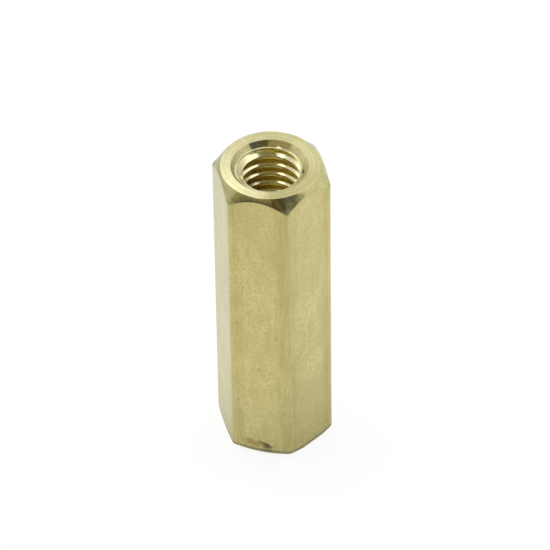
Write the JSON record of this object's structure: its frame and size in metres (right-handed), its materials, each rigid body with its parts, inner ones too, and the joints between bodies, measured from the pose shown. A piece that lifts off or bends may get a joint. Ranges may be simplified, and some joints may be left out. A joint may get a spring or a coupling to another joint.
{
  "type": "hex standoff",
  "caption": "Plain brass hexagonal standoff with a tapped through hole, chamfered rims and countersunk mouths, for holding two boards or panels a set distance apart.",
  "frame": {"origin": "centre of the lower end face", "axes": "+Z along the axis towards the upper end, -Y out of one of the six flats"},
  "size_m": [0.0052, 0.0044, 0.015],
  "materials": {
    "brass": "satin drawn flats, bright turned end faces, chamfers and thread"
  },
  "bodies": {
    "root": {"standoff": "brass"}
  },
  "joints": []
}
